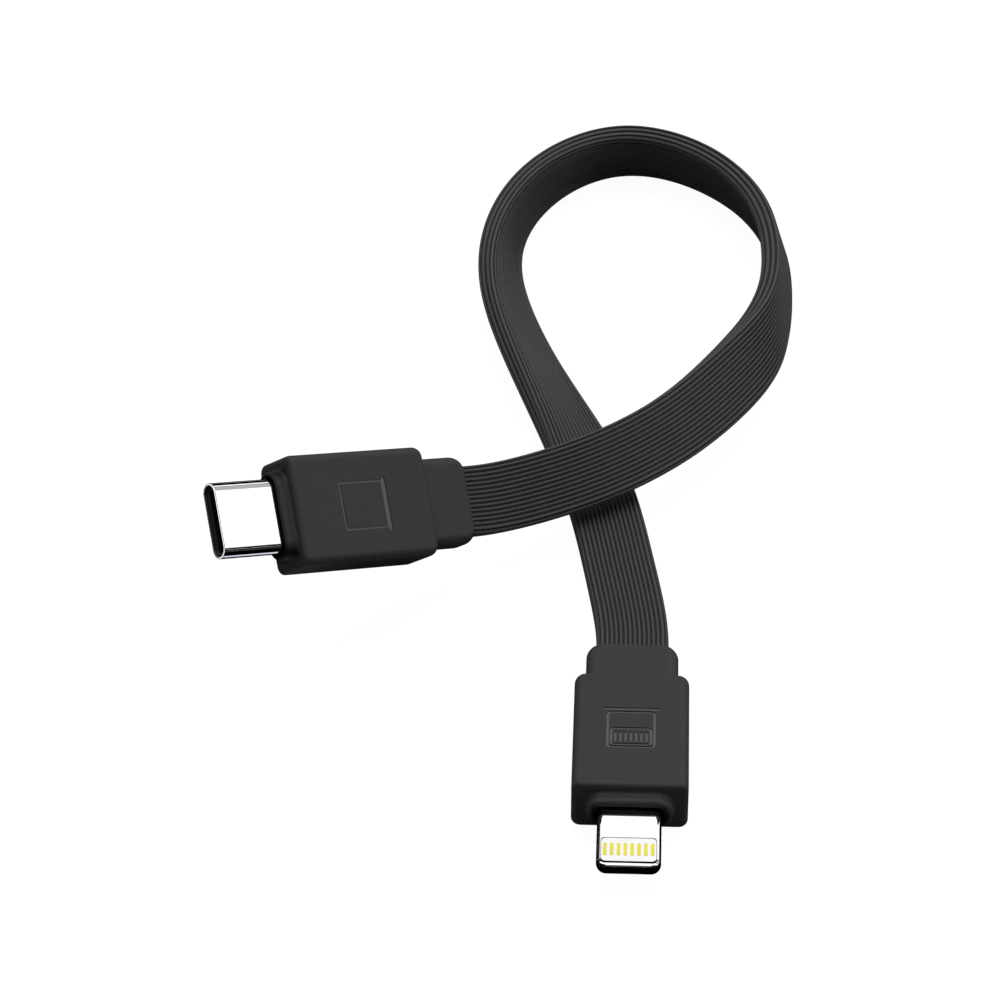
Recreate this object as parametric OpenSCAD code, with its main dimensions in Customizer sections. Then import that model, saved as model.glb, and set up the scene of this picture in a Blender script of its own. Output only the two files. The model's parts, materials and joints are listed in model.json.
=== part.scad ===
// Short flat charging cable: a ribbed ribbon with an oval plug at one end and a blade plug at the
// other, lying in one loop.  Millimetres, +Z up.  The origin is the middle of the blade plug's flat
// underside.  Each plug is drawn along +X from the face where the ribbon enters it, then placed.

/* [Moulded body] */
// Length of a plug's box-shaped body
body_l = 17.5; // [16:0.5:22]
// Width of the body
body_w = 12.2; // [12:0.1:14]
// Thickness of the body
body_t = 6.2; // [6:0.1:7.5]
// Rounding of the body's long edges
body_edge_r = 0.9; // [0.4:0.1:1.1]
// Rounding of the body's rear corners seen from above
body_corner_r = 1.2; // [0.6:0.1:2]
// Rounding round the body's front and rear faces
body_end_r = 0.45; // [0.2:0.05:0.8]
// Length of the strain relief boot
boot_l = 6.2; // [4:0.2:9]
// Width of the boot
boot_w = 9.9; // [9:0.1:11]
// Thickness of the boot
boot_t = 3.8; // [3.4:0.1:4.6]
// Rounding of the boot's long edges
boot_edge_r = 1.1; // [0.6:0.1:1.6]
// Rounding of the boot's corners seen from above
boot_corner_r = 1.4; // [1:0.1:2.4]
// How far the collar stands out of the front face
collar_l = 1.4; // [0.8:0.1:2]
// Rim of the oval plug's collar round the pocket that the metal stands in
oval_rim = 0.5; // [0.3:0.05:0.7]
// Rim of the blade plug's collar
blade_rim = 0.85; // [0.5:0.05:1]
// Gap between the metal and the pocket's wall
pocket_gap = 0.25; // [0.15:0.05:0.3]
// Depth of that pocket
pocket_depth = 0.9; // [0.4:0.1:1.2]
// Rounding of the collar's front edge
collar_edge_r = 0.5; // [0.2:0.05:0.8]
// Wall of the body behind the inner mould, on the boot's side
rear_wall = 1.2; // [0.8:0.1:1.8]
// Wall of the body in front of the inner mould
front_wall = 2; // [1.5:0.1:2.5]
// Depth of the engraved line icons
icon_depth = 0.12; // [0.08:0.02:0.3]
// Width of an icon's lines
icon_line = 0.26; // [0.15:0.01:0.35]
// Distance from the boot's rear face to an icon's bar
icon_x = 11.8; // [11:0.1:13]
// Half the width of an icon
icon_half = 2.5; // [2:0.1:3]
// Length of the oval plug's icon
screen_l = 5.6; // [4:0.1:7]
// Length from the bar to the panel in the blade plug's icon
tab_l = 3.2; // [2:0.1:4]
// Length of the panel in the blade plug's icon
tab_panel_l = 2.6; // [2:0.1:3]

/* [Inner mould and can] */
// Side and top wall of the inner mould
mould_wall = 0.6; // [0.4:0.05:0.7]
// End wall of the inner mould
mould_end = 0.6; // [0.4:0.05:0.8]
// Sheet of the shield can
can_wall = 0.2; // [0.15:0.05:0.3]
// Inside width of the shield can
can_w = 8.6; // [8.5:0.05:8.7]
// Inside height of the shield can
can_h = 2.6; // [2.5:0.05:2.8]
// Running gap between pieces that only touch when assembled
fit = 0.05; // [0.03:0.01:0.08]

/* [Oval plug] */
// Width of the oval shell
shell_w = 8.25; // [8:0.05:8.3]
// Thickness of the oval shell
shell_t = 2.4; // [2.3:0.05:2.6]
// Sheet of the oval shell
shell_wall = 0.2; // [0.15:0.01:0.22]
// Length of shell that stands out of the collar
shell_out = 7.4; // [7:0.1:9]
// How far the plastic core sits behind the shell's rim
core_inset = 0.3; // [0.1:0.05:0.5]
// Wall of the core beside the slot for the mating tongue
mouth_side = 0.475; // [0.45:0.025:0.525]
// Height of the slot
mouth_h = 0.95; // [0.85:0.05:1]
// Depth of the slot
mouth_d = 6.4; // [6:0.1:6.8]
// Contacts in each row
oval_pins = 12; // [8:1:12]
// Pitch of the oval plug's contacts
oval_pitch = 0.5; // [0.46:0.01:0.52]
// Width of an oval plug contact
oval_pin_w = 0.24; // [0.2:0.01:0.26]
// Thickness of an oval plug contact
oval_pin_t = 0.12; // [0.1:0.01:0.14]
// Free length of a contact beam
beam_l = 4.2; // [3.6:0.1:4.6]
// How far a contact's bump reaches towards the middle
bump_h = 0.32; // [0.26:0.01:0.34]
// Length of a side latch arm
latch_l = 6.8; // [6:0.1:7]
// Width of a side latch arm
latch_w = 0.24; // [0.2:0.01:0.26]
// Sheet of the latch plate
latch_t = 0.2; // [0.15:0.01:0.22]
// How far a latch's hook reaches into the mouth
hook_h = 0.35; // [0.25:0.05:0.4]

/* [Blade plug] */
// Width of the blade
blade_w = 6.7; // [6.4:0.05:6.8]
// Thickness of the blade
blade_t = 1.5; // [1.4:0.05:1.6]
// Length of blade that stands out of the collar
blade_out = 8.3; // [7:0.1:9]
// Rounding of the blade's nose seen from above
nose_corner_r = 1.1; // [0.6:0.1:1.6]
// Rounding of the blade's nose seen from the side
nose_edge_r = 0.5; // [0.2:0.05:0.7]
// Steel in front of the contact panel
nose_l = 0.4; // [0.35:0.05:0.8]
// Length of the contact panel
panel_l = 3.8; // [3.2:0.1:4.2]
// Width of the contact panel
panel_w = 5.8; // [5.7:0.05:5.9]
// Rounding of the contact panel's corners
panel_r = 0.45; // [0.2:0.05:0.6]
// Contacts on each face of the blade
blade_pins = 8; // [6:1:8]
// Pitch of the blade's contacts
blade_pitch = 0.7; // [0.64:0.01:0.72]
// Width of a blade contact
blade_pin_w = 0.4; // [0.3:0.02:0.44]
// Length of a blade contact
blade_pin_l = 1.9; // [1.4:0.1:2]
// Distance from the panel's front edge to the contacts
blade_pin_gap = 1.1; // [0.9:0.05:1.2]

/* [Circuit boards] */
// Length of the oval plug's board
oval_board_l = 9.2; // [8.6:0.1:9.4]
// Length of the wide part of the blade plug's board
blade_board_l = 8.4; // [8:0.1:8.8]
// Width of both boards inside the can
board_w = 7.4; // [6:0.1:7.6]
// Thickness of the oval plug's board
oval_board_t = 1; // [0.8:0.05:1.05]
// Thickness of the blade plug's board
blade_board_t = 0.5; // [0.4:0.05:0.6]
// Side of the square control chip
chip_w = 3; // [2:0.1:3.2]
// Height of the control chip
chip_h = 0.65; // [0.4:0.05:0.7]
// Length of a capacitor
cap_l = 1; // [0.8:0.1:1.2]
// Height and width of a capacitor
cap_w = 0.5; // [0.4:0.05:0.6]
// Capacitors on each board
caps = 3; // [1:1:3]
// Distance from a board's rear edge to its chip
chip_x = 1.5; // [1:0.1:2.5]
// Distance from a board's rear edge to its capacitors
cap_x = 2.5; // [1.5:0.1:4]
// Distance between neighbouring capacitors
cap_pitch = 2; // [1.5:0.1:2.4]

/* [Ribbon] */
// Width of the flat ribbon
ribbon_w = 7.8; // [7:0.1:8.4]
// Thickness of the ribbon
ribbon_t = 2.4; // [2.3:0.05:2.6]
// Rounding of the ribbon's long edges
ribbon_edge_r = 0.6; // [0.4:0.05:1.1]
// Width of the ribbon's bore
bore_w = 5.4; // [5.2:0.1:5.8]
// Height of the ribbon's bore
bore_t = 1.5; // [1.4:0.05:1.6]
// Diameter of one insulated core
core_d = 0.9; // [0.7:0.05:1]
// Distance between neighbouring cores
core_pitch = 1.2; // [1.1:0.05:1.3]
// Length of the solder joint on a core's end
solder_l = 0.6; // [0.4:0.1:0.8]

/* [Place of the oval plug] */
// Compass direction that its nose points in, counted from +X towards +Y
oval_heading = -146; // [-150:1:-142]
// How far its nose is raised
oval_pitch_up = 19; // [17:1:21]
// How far it is rolled over from lying flat
oval_roll = 45; // [43:1:47]

/* [Hidden] */

$fn = 48;
eps = 0.01;

// Stations along a plug, from the ribbon's face (0) towards the nose.
body_x0 = boot_l;
body_x1 = body_x0 + body_l;
face_x = body_x1 + collar_l;
cavity_x0 = body_x0 + rear_wall;
cavity_x1 = body_x1 - front_wall;
can_x0 = cavity_x0 + mould_end;
can_x1 = cavity_x1 - mould_end;
mould_w = can_w + 2*can_wall + 2*fit + 2*mould_wall;
mould_t = can_h + 2*can_wall + 2*fit + 2*mould_wall;

// Oval plug stations.
shell_x0 = can_x1 + 2*fit;
nose_x = face_x + shell_out;
core_x0 = shell_x0 + 2*fit;
core_x1 = nose_x - core_inset;
core_w = shell_w - 2*shell_wall - 2*fit;
core_t = shell_t - 2*shell_wall - 2*fit;
mouth_w = core_w - 2*mouth_side;
root_x = core_x1 - mouth_d - 0.6;
hinge_gap = 0.05;
slot_side = 0.04;
pin_z = mouth_h/2 + 0.085;
slot_top = core_t/2 - 0.1;
slot_x1 = root_x + beam_l + 0.2;
latch_x = root_x - 0.7;
latch_y = mouth_w/2;
latch_slot_t = latch_t + 0.2;
latch_slot_y0 = latch_y - 0.15;
latch_slot_w = core_w/2 - latch_slot_y0 + 0.1;
latch_slot_y = latch_slot_y0 + latch_slot_w/2;
latch_slot_x1 = latch_x + latch_l + 0.3;
plate_l = 2.8;
spring_x0 = slot_x1 + 0.3;
spring_l = 1.6;
spring_w = 5.8;
spring_t = 0.08;
spring_seat = 0.12;
window_w = 0.8;
window_x0 = spring_x0 + spring_l/2 - window_w/2;
window_pitch = 1.9;
oval_board_x1 = can_x1 - 0.2;
oval_board_x0 = oval_board_x1 - oval_board_l;
tail_l = 1.6;

// Blade plug stations.
blade_x1 = face_x + blade_out;
flange_x0 = can_x1 - 1;
flange_l = 0.8;
flange_w = blade_w + 1.2;
flange_t = blade_t + 0.8;
panel_x1 = blade_x1 - nose_l;
panel_x0 = panel_x1 - panel_l;
tongue_w = (blade_pins - 1)*blade_pitch + blade_pin_w;
blade_board_x1 = flange_x0 - 0.1;
blade_board_x0 = blade_board_x1 - blade_board_l;
tongue_x1 = panel_x1 - blade_pin_gap + 0.1;
blade_pin_x = panel_x1 - blade_pin_gap - blade_pin_l/2;

// The cores run into each plug as far as its board.
oval_core_in = oval_board_x0 - solder_l;
blade_core_in = blade_board_x0 - solder_l;

// Ribbon route: x, y, z and the lean of its cross-section in degrees (-90 is face down, 0 stands
// on edge, +45 leans over).  A smooth spline is drawn through the pull of these points.
ribbon_steps = 3;
ribbon_sides = 12;
core_sides = 8;
end_pull = 5;
blade_exit = [0, body_l/2 + boot_l, body_t/2];
oval_exit = [-19.3, 34, 8.6];
oval_dir = [cos(oval_pitch_up)*cos(oval_heading), cos(oval_pitch_up)*sin(oval_heading),
    sin(oval_pitch_up)];
oval_lean = 90 - oval_roll;
ROUTE = concat(
    [[each blade_exit, -90], [each (blade_exit + [0, end_pull, 0]), -90]],
    [[-1.6, 30.6, 2.4, -95], [-3.75, 44.4, 1.7, -90], [-7.5, 55.1, 2.38, -68],
     [-12.6, 67.2, 3.2, -52], [-16.5, 79.8, 3.6, -42], [-16.95, 91.8, 4.1, -11],
     [-12.3, 103.9, 4, 4], [-2.4, 111.5, 3.97, 20], [8.7, 106.5, 3.97, 17], [15.7, 96.1, 3.97, 20],
     [16.7, 82.3, 4.5, 11], [15.5, 70.7, 5.5, 17], [11.4, 60.6, 6.5, 45], [4.2, 49.2, 7, 50],
     [-5.5, 41.5, 6.9, 45]],
    [[each (oval_exit - end_pull*oval_dir), oval_lean], [each oval_exit, oval_lean]]);

// ---- spline and sweep ----

function blend_at(P, i, u) = (pow(1 - u, 3)*P[i] + (3*u*u*u - 6*u*u + 4)*P[i + 1]
    + (3*u + 3*u*u - 3*u*u*u + 1)*P[i + 2] + u*u*u*P[i + 3])/6;

function spline(C, steps) = let (n = len(C) - 1, P = concat([2*C[0] - C[1]], C, [2*C[n] - C[n - 1]]))
    concat([for (i = [0:n - 1]) for (k = [0:steps - 1]) blend_at(P, i, k/steps)], [C[n]]);

function xyz(p) = [p[0], p[1], p[2]];
function unit(v) = v/norm(v);

SPINE = spline(ROUTE, ribbon_steps);
LAST = len(SPINE) - 1;

function tangent(i) = i == 0 ? [0, 1, 0] : i == LAST ? oval_dir
    : unit(xyz(SPINE[i + 1]) - xyz(SPINE[i - 1]));

// One station: centre, direction across the ribbon and direction out of its outer face.
function station(i) = let (t = tangent(i), h = unit(cross([0, 0, 1], t)), u = cross(t, h),
    a = SPINE[i][3]) [xyz(SPINE[i]), u*cos(a) - h*sin(a), h*cos(a) + u*sin(a)];
STATIONS = [for (i = [0:LAST]) station(i)];

function shifted(s, d) = [s[0] + d, s[1], s[2]];

// Outline of a flat section with rounded corners, a quarter of its points on each.
function flat_section(w, t, r, sides) = let (m = sides/4)
    [for (q = [0:3]) for (k = [0:m - 1]) let (a = 90*q + 90*k/(m - 1))
        [(q == 0 || q == 3 ? 1 : -1)*(w/2 - r) + r*cos(a), (q < 2 ? 1 : -1)*(t/2 - r) + r*sin(a)]];

function round_section(d, sides, across) = [for (k = [0:sides - 1])
    let (a = 360*k/sides) [across + d/2*cos(a), d/2*sin(a)]];

function ring(s, section) = [for (p = section) s[0] + s[1]*p[0] + s[2]*p[1]];

// Triangles of a tube's side whose first point has the number base.
function side_faces(rings, n, base, inward) = [for (r = [0:rings - 2]) for (k = [0:n - 1])
    let (a = base + r*n + k, b = base + r*n + (k + 1)%n, c = b + n, d = a + n)
    each (inward ? [[a, b, c], [a, c, d]] : [[a, c, b], [a, d, c]])];

module tube(stations, section) {
    n = len(section);
    rings = len(stations);
    last = (rings - 1)*n;
    polyhedron(
        points = [for (s = stations) each ring(s, section)],
        faces = concat(side_faces(rings, n, 0, false),
            [for (k = [1:n - 2]) [0, k, k + 1]],
            [for (k = [1:n - 2]) [last, last + k + 1, last + k]]));
}

// A tube with a bore: both sections have as many points.
module pipe(stations, outer, bore) {
    n = len(outer);
    rings = len(stations);
    half = rings*n;
    last = (rings - 1)*n;
    polyhedron(
        points = concat([for (s = stations) each ring(s, outer)], [for (s = stations) each ring(s, bore)]),
        faces = concat(side_faces(rings, n, 0, false), side_faces(rings, n, half, true),
            [for (k = [0:n - 1]) let (j = (k + 1)%n)
                each [[k, j, half + j], [k, half + j, half + k]]],
            [for (k = [0:n - 1]) let (j = (k + 1)%n)
                each [[last + k, half + last + j, last + j], [last + k, half + last + k, half + last + j]]]));
}

module ribbon_jacket() {
    color([0.11, 0.12, 0.12])
    pipe(STATIONS, flat_section(ribbon_w, ribbon_t, ribbon_edge_r, ribbon_sides),
        flat_section(bore_w, bore_t, bore_t/2 - eps, ribbon_sides));
}

// A core, by its place across the ribbon; it runs on straight into both plugs.
module core(place) {
    stations = concat([shifted(STATIONS[0], [0, -blade_core_in, 0])], STATIONS,
        [shifted(STATIONS[LAST], oval_core_in*oval_dir)]);
    tube(stations, round_section(core_d, core_sides, place*core_pitch));
}

module power_core() { color([0.7, 0.1, 0.08]) core(-1.5); }
module ground_core() { color([0.05, 0.05, 0.05]) core(1.5); }
module data_core_a() { color([0.1, 0.45, 0.2]) core(-0.5); }
module data_core_b() { color([0.85, 0.85, 0.82]) core(0.5); }

// ---- shared shapes ----

module place_oval() { translate(oval_exit) rotate([-oval_roll, -oval_pitch_up, oval_heading]) children(); }
module place_blade() { translate(blade_exit) rotate([0, 0, -90]) children(); }

// Rectangle with round corners, centred.
module round_rect(w, h, r) {
    square([w - 2*r, h], center = true);
    square([w, h - 2*r], center = true);
    for (x = [-1, 1]) for (y = [-1, 1]) translate([x*(w/2 - r), y*(h/2 - r)]) circle(r = r);
}

// Bar along X from x0 to x1 whose Y-Z section is a child.
module bar(x0, x1) {
    translate([x0, 0, 0]) rotate([90, 0, 90]) linear_extrude(height = x1 - x0) children();
}

module box(x0, x1, w, t) { translate([x0, -w/2, -t/2]) cube([x1 - x0, w, t]); }

// Outline from x0 to x1 whose corners have the radius r0 at the x0 end and r1 at the x1 end.
module end_rounded(x0, x1, w, r0, r1) {
    translate([x0 + r0, -w/2]) square([x1 - x0 - r0 - r1, w]);
    translate([x0, r0 - w/2]) square([x1 - x0, w - 2*r0]);
    translate([x1 - r1 - eps, r1 - w/2]) square([r1 + eps, w - 2*r1]);
    for (s = [-1, 1]) translate([x0 + r0, s*(w/2 - r0)]) circle(r = r0);
    for (s = [-1, 1]) translate([x1 - r1, s*(w/2 - r1)]) circle(r = r1);
}

// Box along X that is rounded along its length, and round its two ends.
module soft_box(x0, x1, w, t, edge_r, corner_r, end_r) {
    intersection() {
        bar(x0, x1) round_rect(w, t, edge_r);
        translate([0, 0, -t]) linear_extrude(height = 2*t) end_rounded(x0, x1, w, corner_r, end_r);
        translate([0, w, 0]) rotate([90, 0, 0]) linear_extrude(height = 2*w)
            end_rounded(x0, x1, t, end_r, end_r);
    }
}

// Line of an icon, cut into the top face.
module stroke(x0, y0, x1, y1) {
    translate([min(x0, x1) - icon_line/2, min(y0, y1) - icon_line/2, body_t/2 - icon_depth])
        cube([abs(x1 - x0) + icon_line, abs(y1 - y0) + icon_line, icon_depth + eps]);
}

module frame_icon(x0, x1, half_w) {
    stroke(x0, -half_w, x1, -half_w);
    stroke(x0, half_w, x1, half_w);
    stroke(x1, -half_w, x1, half_w);
    stroke(x0, -half_w, x0, half_w);
}

// ---- moulded body, inner mould and can, the same at both plugs ----

// Flat section with round ends, w wide and t thick.
module stadium(w, t) { round_rect(w, t, t/2 - eps); }

// Body, boot and collar in one moulding, open round the metal, round the inner mould and where the
// cores come in.
module overmould(metal_w, metal_t, rim) {
    collar = 2*pocket_gap + 2*rim;
    difference() {
        union() {
            soft_box(body_x0, body_x1, body_w, body_t, body_edge_r, body_corner_r, body_end_r);
            soft_box(0, cavity_x0, boot_w, boot_t, boot_edge_r, boot_corner_r, body_end_r);
            soft_box(body_x1 - collar_l, face_x, metal_w + collar, metal_t + collar,
                (metal_t + collar)/2 - eps, collar_edge_r, collar_edge_r);
        }
        children();
        box(cavity_x0, cavity_x1, mould_w + 2*fit, mould_t + 2*fit);
        bar(-eps, cavity_x0 + eps) stadium(bore_w, bore_t);
        bar(cavity_x1 - eps, face_x + eps) stadium(metal_w + 2*fit, metal_t + 2*fit);
        bar(face_x - pocket_depth, face_x + eps)
            stadium(metal_w + 2*pocket_gap, metal_t + 2*pocket_gap);
    }
}

module inner_mould(metal_w, metal_t) {
    difference() {
        box(cavity_x0 + fit, cavity_x1 - fit, mould_w, mould_t);
        box(can_x0 - fit, can_x1 + fit, can_w + 2*can_wall + 2*fit, can_h + 2*can_wall + 2*fit);
        bar(cavity_x0, can_x0) stadium(bore_w, bore_t);
        bar(can_x1, cavity_x1) stadium(metal_w + 2*fit, metal_t + 2*fit);
    }
}

// Upper half of the can; the lower half is the same piece turned over.
module can_half() {
    difference() {
        translate([can_x0, -can_w/2 - can_wall, fit/2])
            cube([can_x1 - can_x0, can_w + 2*can_wall, can_h/2 + can_wall - fit/2]);
        translate([can_x0 - eps, -can_w/2, -eps])
            cube([can_x1 - can_x0 + 2*eps, can_w, can_h/2 + eps]);
    }
}

module chip(x, board_t) {
    translate([x, -chip_w/2, board_t/2]) cube([chip_w, chip_w, chip_h]);
}

module capacitor_row(x, board_t) {
    for (i = [0:caps - 1])
        translate([x, (i - (caps - 1)/2)*cap_pitch - cap_w/2, -board_t/2 - cap_w])
            cube([cap_l, cap_w, cap_w]);
}

// Solder that joins each core's end to the board's edge.
module core_solder(board_x0) {
    for (p = [-1.5:1:1.5]) translate([board_x0 - solder_l, p*core_pitch, 0])
        rotate([0, 90, 0]) cylinder(d = core_d, h = solder_l);
}

// ---- oval plug ----

// Across-the-row places of the contacts.
function pin_y(i, pins, pitch) = (i - (pins - 1)/2)*pitch;

module oval_overmould() {
    color([0.16, 0.165, 0.17]) place_oval() overmould(shell_w, shell_t, oval_rim) {
        frame_icon(icon_x + icon_line, icon_x + screen_l, icon_half);
        stroke(icon_x, -icon_half - 2*icon_line, icon_x, icon_half + 2*icon_line);
    }
}

module oval_inner_mould() { color([0.85, 0.83, 0.78]) place_oval() inner_mould(shell_w, shell_t); }

module oval_can_upper() { color([0.75, 0.75, 0.77]) place_oval() can_half(); }
module oval_can_lower() { color([0.7, 0.7, 0.72]) place_oval() rotate([180, 0, 0]) can_half(); }

module oval_board() {
    color([0.08, 0.3, 0.16]) place_oval() box(oval_board_x0, oval_board_x1, board_w, oval_board_t);
}

module oval_chip() { color([0.08, 0.08, 0.09]) place_oval() chip(oval_board_x0 + chip_x, oval_board_t); }

module oval_capacitors() {
    color([0.55, 0.42, 0.3]) place_oval() capacitor_row(oval_board_x0 + cap_x, oval_board_t);
}

// Joints at the cores, and a pad under every contact tail.
module oval_solder() {
    pad_h = pin_z - oval_board_t/2;
    color([0.78, 0.78, 0.76]) place_oval() {
        core_solder(oval_board_x0);
        for (s = [1, -1]) for (i = [0:oval_pins - 1])
            translate([oval_board_x1 - tail_l, pin_y(i, oval_pins, oval_pitch) - oval_pin_w/2,
                    s > 0 ? oval_board_t/2 : -pin_z])
                cube([tail_l - 0.2, oval_pin_w, pad_h]);
    }
}

module oval_shell() {
    color([0.8, 0.82, 0.85]) place_oval() bar(shell_x0, nose_x) difference() {
        stadium(shell_w, shell_t);
        stadium(shell_w - 2*shell_wall, shell_t - 2*shell_wall);
    }
}

// Plastic core inside the shell: the mouth, the contact slots, the latch plate's pocket and arm
// slots, and the ground springs' seats and windows.
module oval_housing() {
    slot_w = oval_pin_w + 2*slot_side;
    color([0.06, 0.06, 0.065]) place_oval() difference() {
        bar(core_x0, core_x1) stadium(core_w, core_t);
        box(core_x1 - mouth_d, core_x1 + eps, mouth_w, mouth_h);
        box(core_x0 - eps, latch_x, 2*latch_y + 2*latch_w + 2*fit, latch_t + 2*fit);
        for (s = [1, -1]) box_between(latch_x - 2*eps, latch_slot_x1, s*latch_slot_y, latch_slot_w,
            -latch_slot_t/2, latch_slot_t/2);
        for (s = [0, 1]) mirror([0, 0, s]) {
            for (i = [0:oval_pins - 1]) box_between(core_x0 - eps, slot_x1,
                pin_y(i, oval_pins, oval_pitch), slot_w, mouth_h/2 - 0.02, slot_top);
            box_between(spring_x0 - fit, spring_x0 + spring_l + fit, 0, spring_w + 2*fit,
                core_t/2 - spring_seat, core_t);
            for (j = [-1:1]) box_between(window_x0, window_x0 + window_w, j*window_pitch,
                window_w, 0, core_t);
        }
    }
}

// Box from x0 to x1 and z0 to z1, w wide about y.
module box_between(x0, x1, y, w, z0, z1) { translate([x0, y - w/2, z0]) cube([x1 - x0, w, z1 - z0]); }

// One row of sprung contact beams, hinged at their roots; the bump near each tip faces the middle.
module contact_row(side) {
    bump_l = 0.5;
    for (i = [0:oval_pins - 1]) translate([root_x, pin_y(i, oval_pins, oval_pitch) - oval_pin_w/2, 0])
        mirror([0, 0, side > 0 ? 0 : 1]) rotate([90, 0, 0]) translate([0, 0, -oval_pin_w])
            linear_extrude(height = oval_pin_w)
                polygon([[hinge_gap, pin_z], [hinge_gap, pin_z + oval_pin_t],
                    [beam_l, pin_z + oval_pin_t], [beam_l, pin_z],
                    [beam_l - 0.2, pin_z - bump_h], [beam_l - bump_l, pin_z - bump_h],
                    [beam_l - bump_l - 0.6, pin_z]]);
}

module upper_contacts() { color([0.9, 0.68, 0.28]) place_oval() contact_row(1); }
module lower_contacts() { color([0.9, 0.68, 0.28]) place_oval() contact_row(-1); }

// Fixed rear half of each contact, from the hinge back over the board's solder pads.
module tail_row(side) {
    x0 = oval_board_x1 - tail_l;
    for (i = [0:oval_pins - 1]) box_between(x0, root_x, pin_y(i, oval_pins, oval_pitch), oval_pin_w,
        side > 0 ? pin_z : -pin_z - oval_pin_t, side > 0 ? pin_z + oval_pin_t : -pin_z);
}

module upper_tails() { color([0.86, 0.66, 0.3]) place_oval() tail_row(1); }
module lower_tails() { color([0.86, 0.66, 0.3]) place_oval() tail_row(-1); }

module latch_plate() {
    color([0.72, 0.72, 0.74]) place_oval()
        box(latch_x - plate_l, latch_x - fit, 2*latch_y + 2*latch_w, latch_t);
}

// One side latch: an arm along the mouth's side with a hook near its tip, hinged at the plate.
module latch_arm(side) {
    hook_l = 0.7;
    mirror([0, side > 0 ? 0 : 1, 0]) translate([latch_x, latch_y, -latch_t/2])
        linear_extrude(height = latch_t) polygon([[0, 0], [0, latch_w], [latch_l, latch_w],
            [latch_l, 0], [latch_l - 0.25, -hook_h], [latch_l - hook_l, -hook_h],
            [latch_l - hook_l - 0.4, 0]]);
}

module latch_arm_left() { color([0.75, 0.75, 0.77]) place_oval() latch_arm(1); }
module latch_arm_right() { color([0.75, 0.75, 0.77]) place_oval() latch_arm(-1); }

// Thin sheet outside the core whose three dimples look through windows into the mouth.
module ground_spring(side) {
    dimple_gap = 0.1;
    dimple_w = window_w - 2*dimple_gap;
    z0 = core_t/2 - spring_seat + 0.02;
    mirror([0, 0, side > 0 ? 0 : 1]) {
        box_between(spring_x0, spring_x0 + spring_l, 0, spring_w, z0, z0 + spring_t);
        for (j = [-1:1]) box_between(window_x0 + dimple_gap, window_x0 + dimple_gap + dimple_w,
            j*window_pitch, dimple_w, mouth_h/2 - 0.05, z0 + spring_t/2);
    }
}

module upper_ground_spring() { color([0.7, 0.7, 0.68]) place_oval() ground_spring(1); }
module lower_ground_spring() { color([0.7, 0.7, 0.68]) place_oval() ground_spring(-1); }

// ---- blade plug ----

module blade_overmould() {
    panel_x = icon_x + tab_l;
    rib = 0.6*tab_panel_l;
    color([0.16, 0.165, 0.17]) place_blade() overmould(blade_w, blade_t, blade_rim) {
        stroke(icon_x, -icon_half - 2*icon_line, icon_x, icon_half + 2*icon_line);
        for (s = [-1, 1]) stroke(icon_x + 2*icon_line, s*icon_half, panel_x, s*icon_half);
        frame_icon(panel_x, panel_x + tab_panel_l, icon_half);
        for (j = [-3:3]) stroke(panel_x + tab_panel_l/2 - rib/2, j*icon_half/4,
            panel_x + tab_panel_l/2 + rib/2, j*icon_half/4);
    }
}

module blade_inner_mould() { color([0.85, 0.83, 0.78]) place_blade() inner_mould(blade_w, blade_t); }

module blade_can_upper() { color([0.75, 0.75, 0.77]) place_blade() can_half(); }
module blade_can_lower() { color([0.7, 0.7, 0.72]) place_blade() rotate([180, 0, 0]) can_half(); }

// Wide inside the can, then a tongue that runs forward inside the blade.
module blade_board() {
    color([0.08, 0.3, 0.16]) place_blade() {
        box(blade_board_x0, blade_board_x1, board_w, blade_board_t);
        box(blade_board_x1 - eps, tongue_x1, tongue_w, blade_board_t);
    }
}

module blade_chip() { color([0.08, 0.08, 0.09]) place_blade() chip(blade_board_x0 + chip_x, blade_board_t); }

module blade_capacitors() {
    color([0.55, 0.42, 0.3]) place_blade() capacitor_row(blade_board_x0 + cap_x, blade_board_t);
}

module blade_solder() { color([0.78, 0.78, 0.76]) place_blade() core_solder(blade_board_x0); }

// Steel blade: a flange inside the can, a channel for the board's tongue and a window for the
// contact panel, behind a rounded nose.
module blade_frame() {
    channel_t = blade_board_t + 2*fit;
    color([0.82, 0.83, 0.85]) place_blade() difference() {
        union() {
            box(flange_x0, flange_x0 + flange_l, flange_w, flange_t);
            intersection() {
                bar(flange_x0, blade_x1) stadium(blade_w, blade_t);
                translate([blade_x1/2, 0, -blade_t]) linear_extrude(height = 2*blade_t)
                    round_rect(blade_x1, blade_w, nose_corner_r);
                translate([blade_x1/2, blade_w, 0]) rotate([90, 0, 0])
                    linear_extrude(height = 2*blade_w) round_rect(blade_x1, blade_t, nose_edge_r);
            }
        }
        box(flange_x0 - eps, panel_x0 + eps, tongue_w + 2*fit, channel_t);
        translate([(panel_x0 + panel_x1)/2, 0, -blade_t]) linear_extrude(height = 2*blade_t)
            round_rect(panel_l, panel_w, panel_r);
    }
}

// Plastic panel in the window, with a slot for the board's tongue and an opening for each contact.
module blade_insert() {
    color([0.92, 0.92, 0.9]) place_blade() difference() {
        translate([(panel_x0 + panel_x1)/2, 0, -blade_t/2 + fit])
            linear_extrude(height = blade_t - 2*fit)
                round_rect(panel_l - 2*fit, panel_w - 2*fit, panel_r - fit);
        box(panel_x0 - eps, tongue_x1 + fit, tongue_w + 2*fit, blade_board_t + 2*fit);
        for (i = [0:blade_pins - 1]) box_between(blade_pin_x - blade_pin_l/2 - fit,
            blade_pin_x + blade_pin_l/2 + fit, pin_y(i, blade_pins, blade_pitch),
            blade_pin_w + 2*fit, -blade_t, blade_t);
    }
}

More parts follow.
